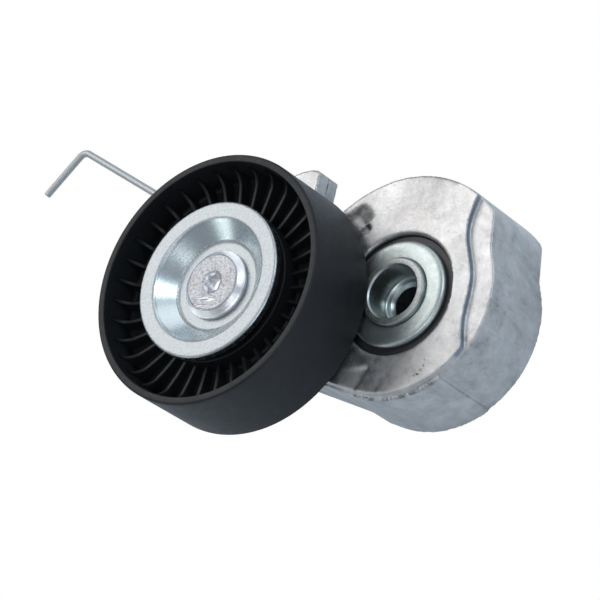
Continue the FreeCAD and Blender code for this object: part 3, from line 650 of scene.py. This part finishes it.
CT, CS, CR, t = 61.5, 56.0, 23.85, 1.0
cover = link("dust_cover_visual", lathe(subdiv_line(soft_corners(outline([
    (5.3, CS), (5.3, CS - t), (13.0, CS - t), (14.4, CS - t + 0.75, (13.85, CS - t + 0.18)),
    (18.75, CT - t - 0.7, (17.0, 58.35)), (20.0, CT - t, (19.15, CT - t - 0.25)),
    (22.55, CT - t), (CR - 0.95, CT - t - 0.5, (CR - 1.05, CT - t - 0.12)),
    (CR - 0.95, CT - 2.1), (CR - 0.5, CT - 2.5, (CR - 0.8, CT - 2.4)), (CR, CT - 2.1, (CR - 0.15, CT - 2.4)),
    (CR, CT - 0.9), (CR - 0.9, CT, (CR - 0.27, CT - 0.27)),
    (19.6, CT), (18.3, CT - 0.65, (18.75, CT - 0.2)), (13.9, CS + 0.85, (16.35, 59.05)),
    (12.7, CS, (13.4, CS + 0.18))], 10), 0.08), 0.8), 320, PX), M_COVER, 40)
give(cover, "arm", "dust_cover")

bolt = give(soften("pulley_bolt", "pulley_bolt_visual", M_BOLT, 0.17, 2, 150000), "arm", "pulley_bolt")

# ------------------------------------------------------------------ locking pin

PR, PAZ, POFF, PTIP, PBEND, PSHORT, PROLL, PBR = 1.1, -32.58, 10.33, 26.0, 147.2, 18.5, 11.7, 2.3
d = Vector((math.cos(math.radians(PAZ)), math.sin(math.radians(PAZ)), 0))
foot = Vector((POFF * math.cos(math.radians(PAZ + 90)), POFF * math.sin(math.radians(PAZ + 90)), 25.0))
rl = math.radians(PROLL)
sd = Vector((math.cos(math.radians(PAZ + 90)) * math.cos(rl), math.sin(math.radians(PAZ + 90)) * math.cos(rl), math.sin(rl)))
cor = foot + d * PBEND
path = []                                  # (centre, tangent, radius)
for w, r in ((0.0, 0.001), (0.0, 0.42), (0.10, 0.56), (0.85, 1.05), (1.05, 1.1)):
    path.append((foot + d * (PTIP + w), d, r))
k = 60
for i in range(1, k + 1):
    w = PTIP + 1.05 + (PBEND - PBR - PTIP - 1.05) * i / k
    path.append((foot + d * w, d, PR))
cen = cor - d * PBR + sd * PBR
for i in range(1, 17):
    a = math.pi / 2 * i / 16
    path.append((cen + d * (PBR * math.sin(a)) - sd * (PBR * math.cos(a)), d * math.cos(a) + sd * math.sin(a), PR))
for i in range(1, 13):
    path.append((cor + sd * (PBR + (PSHORT - 0.3 - PBR) * i / 12), sd, PR))
for w, r in ((-0.16, 1.06), (-0.05, 0.96), (0.0, 0.82), (0.0, 0.001)):
    path.append((cor + sd * (PSHORT + w), sd, r))
bm = bmesh.new()
nrm = d.cross(sd).normalized()
rows = []
for c, tg, r in path:
    u = nrm
    v = tg.cross(u).normalized()
    rows.append([bm.verts.new((c + (u * math.cos(2 * math.pi * j / 40) + v * math.sin(2 * math.pi * j / 40)) * r) * MM)
                 for j in range(40)])
for A, B in zip(rows, rows[1:]):
    for j in range(40):
        bm.faces.new((A[j], A[(j + 1) % 40], B[(j + 1) % 40], B[j]))
for row in (rows[0], rows[-1]):
    bm.faces.new(row)
bmesh.ops.recalc_face_normals(bm, faces=bm.faces)
pin = link("locking_pin_visual", bm, M_PIN, 35)
give(pin, "locking_pin", "locking_pin")

# ------------------------------------------------------------------ parts kept as they are

for node, mat in (("front_thrust_liner", M_LINER), ("rear_thrust_ring", M_LINER), ("front_pivot_bush", M_BUSH),
                  ("rear_pivot_bush", M_BUSH), ("spring_guide_sleeve", M_BUSH), ("damping_ring", M_LINER),
                  ("torsion_spring", M_SPRING), ("rear_dust_shield", M_SHIELD), ("bearing_inner_ring", M_BEARING),
                  ("bearing_outer_ring", M_BEARING), ("bearing_balls", M_BEARING), ("bearing_cage", M_CAGE),
                  ("bearing_seal_rear", M_SEAL), ("bearing_seal_front", M_SEAL)):
    paint(node, mat)

# ------------------------------------------------------------------ stage, lights and view

fm = bpy.data.meshes.new("floor")
S = 6.0
fm.from_pydata([(-S, -S, -0.0006), (S, -S, -0.0006), (S, S, -0.0006), (-S, S, -0.0006)], [], [(0, 1, 2, 3)])
floor = bpy.data.objects.new("floor", fm)
scene.collection.objects.link(floor)
w = bpy.data.materials.new("floor_white")
w.use_nodes = True
t_ = w.node_tree
t_.nodes.clear()
o_ = t_.nodes.new("ShaderNodeOutputMaterial")
mx_ = t_.nodes.new("ShaderNodeMixShader")
lp_ = t_.nodes.new("ShaderNodeLightPath")
em = t_.nodes.new("ShaderNodeEmission")
df = t_.nodes.new("ShaderNodeBsdfDiffuse")
em.inputs["Color"].default_value = (1.0, 1.0, 1.0, 1)
em.inputs["Strength"].default_value = 1.0
df.inputs["Color"].default_value = (0.50, 0.55, 0.60, 1)
t_.links.new(lp_.outputs["Is Camera Ray"], mx_.inputs[0])
# the floor's faint blue glow, seen only by rays other than the camera's, fades out within 12 to 34 mm of the pivot
# axis: a painted contact shadow under the part
floor_glow = t_.nodes.new("ShaderNodeEmission")
floor_glow.inputs["Color"].default_value = (0.78, 0.89, 1.0, 1)
floor_glow.inputs["Strength"].default_value = 0.24
ad_ = t_.nodes.new("ShaderNodeAddShader")
t_.links.new(df.outputs[0], ad_.inputs[0])
ge_ = t_.nodes.new("ShaderNodeNewGeometry")
ln_ = t_.nodes.new("ShaderNodeVectorMath")
ln_.operation = "LENGTH"
painted_contact_shadow_ramp = t_.nodes.new("ShaderNodeMapRange")
for k_, v_ in zip(("From Min", "From Max", "To Min", "To Max"), (0.012, 0.034, 0.0, 0.24)):
    painted_contact_shadow_ramp.inputs[k_].default_value = v_
t_.links.new(ge_.outputs["Position"], ln_.inputs[0])
t_.links.new(ln_.outputs["Value"], painted_contact_shadow_ramp.inputs["Value"])
t_.links.new(painted_contact_shadow_ramp.outputs["Result"], floor_glow.inputs["Strength"])
t_.links.new(floor_glow.outputs[0], ad_.inputs[1])
t_.links.new(ad_.outputs[0], mx_.inputs[1])
t_.links.new(em.outputs[0], mx_.inputs[2])
bk_ = t_.nodes.new("ShaderNodeMixShader")       # the floor's back face is clear, so the underside can be seen
tr_ = t_.nodes.new("ShaderNodeBsdfTransparent")
t_.links.new(ge_.outputs["Backfacing"], bk_.inputs[0])
t_.links.new(mx_.outputs[0], bk_.inputs[1])
t_.links.new(tr_.outputs[0], bk_.inputs[2])
t_.links.new(bk_.outputs[0], o_.inputs["Surface"])
fm.materials.append(w)

world = bpy.data.worlds.new("studio")
scene.world = world
world.use_nodes = True
bg = world.node_tree.nodes["Background"]
bg.inputs["Color"].default_value = (0.80, 0.88, 1.0, 1)
bg.inputs["Strength"].default_value = 0.34


def area(name, direction, dist, size, watts, color=(1, 1, 1), aim=(0.045, 0, 0.04), size_y=None):
    ld = bpy.data.lights.new(name, "AREA")
    ld.energy = watts
    ld.color = color
    ld.size = size
    if size_y:
        ld.shape = "RECTANGLE"
        ld.size_y = size_y
    o = bpy.data.objects.new(name, ld)
    scene.collection.objects.link(o)
    v = Vector(direction).normalized()
    a = Vector(aim)
    o.location = a + v * dist
    o.rotation_euler = (-v).to_track_quat("-Z", "Y").to_euler()
    return o


area("key", (0.553, -0.375, 0.744), 1.3, 0.85, 8.0, (1.0, 0.982, 0.965))
area("rim", (-0.713, -0.375, 0.577), 1.3, 0.20, 3.6, (0.82, 0.92, 1.0))
area("top", (-0.25, 0.34, 0.91), 1.4, 0.36, 3.4, (0.95, 0.98, 1.0))
area("edge", (0.55, 0.36, 0.75), 1.4, 0.25, 1.3, (1.0, 0.99, 0.97))
area("bounce", (0.70, 0.64, 0.30), 1.3, 0.5, 1.2, (0.94, 1.0, 0.99))
area("fill_left", (-0.2, -0.9, 0.55), 1.3, 0.95, 3, (0.92, 0.96, 1.0))
area("fill_front", (-0.85, 0.55, 0.35), 1.4, 0.9, 2.6, (0.86, 0.93, 1.0))

cam_d = bpy.data.cameras.new("camera")
cam = bpy.data.objects.new("camera", cam_d)
scene.collection.objects.link(cam)
cam_d.lens = 185.7
cam_d.sensor_width = 36
cam_d.clip_end = 50
cam.matrix_world = Matrix(((-0.82268, -0.13158, -0.55306, -0.45751),
                           (-0.10459, -0.92121, 0.37474, 0.32962),
                           (-0.55880, 0.36614, 0.74410, 0.69364),
                           (0, 0, 0, 1)))
scene.camera = cam
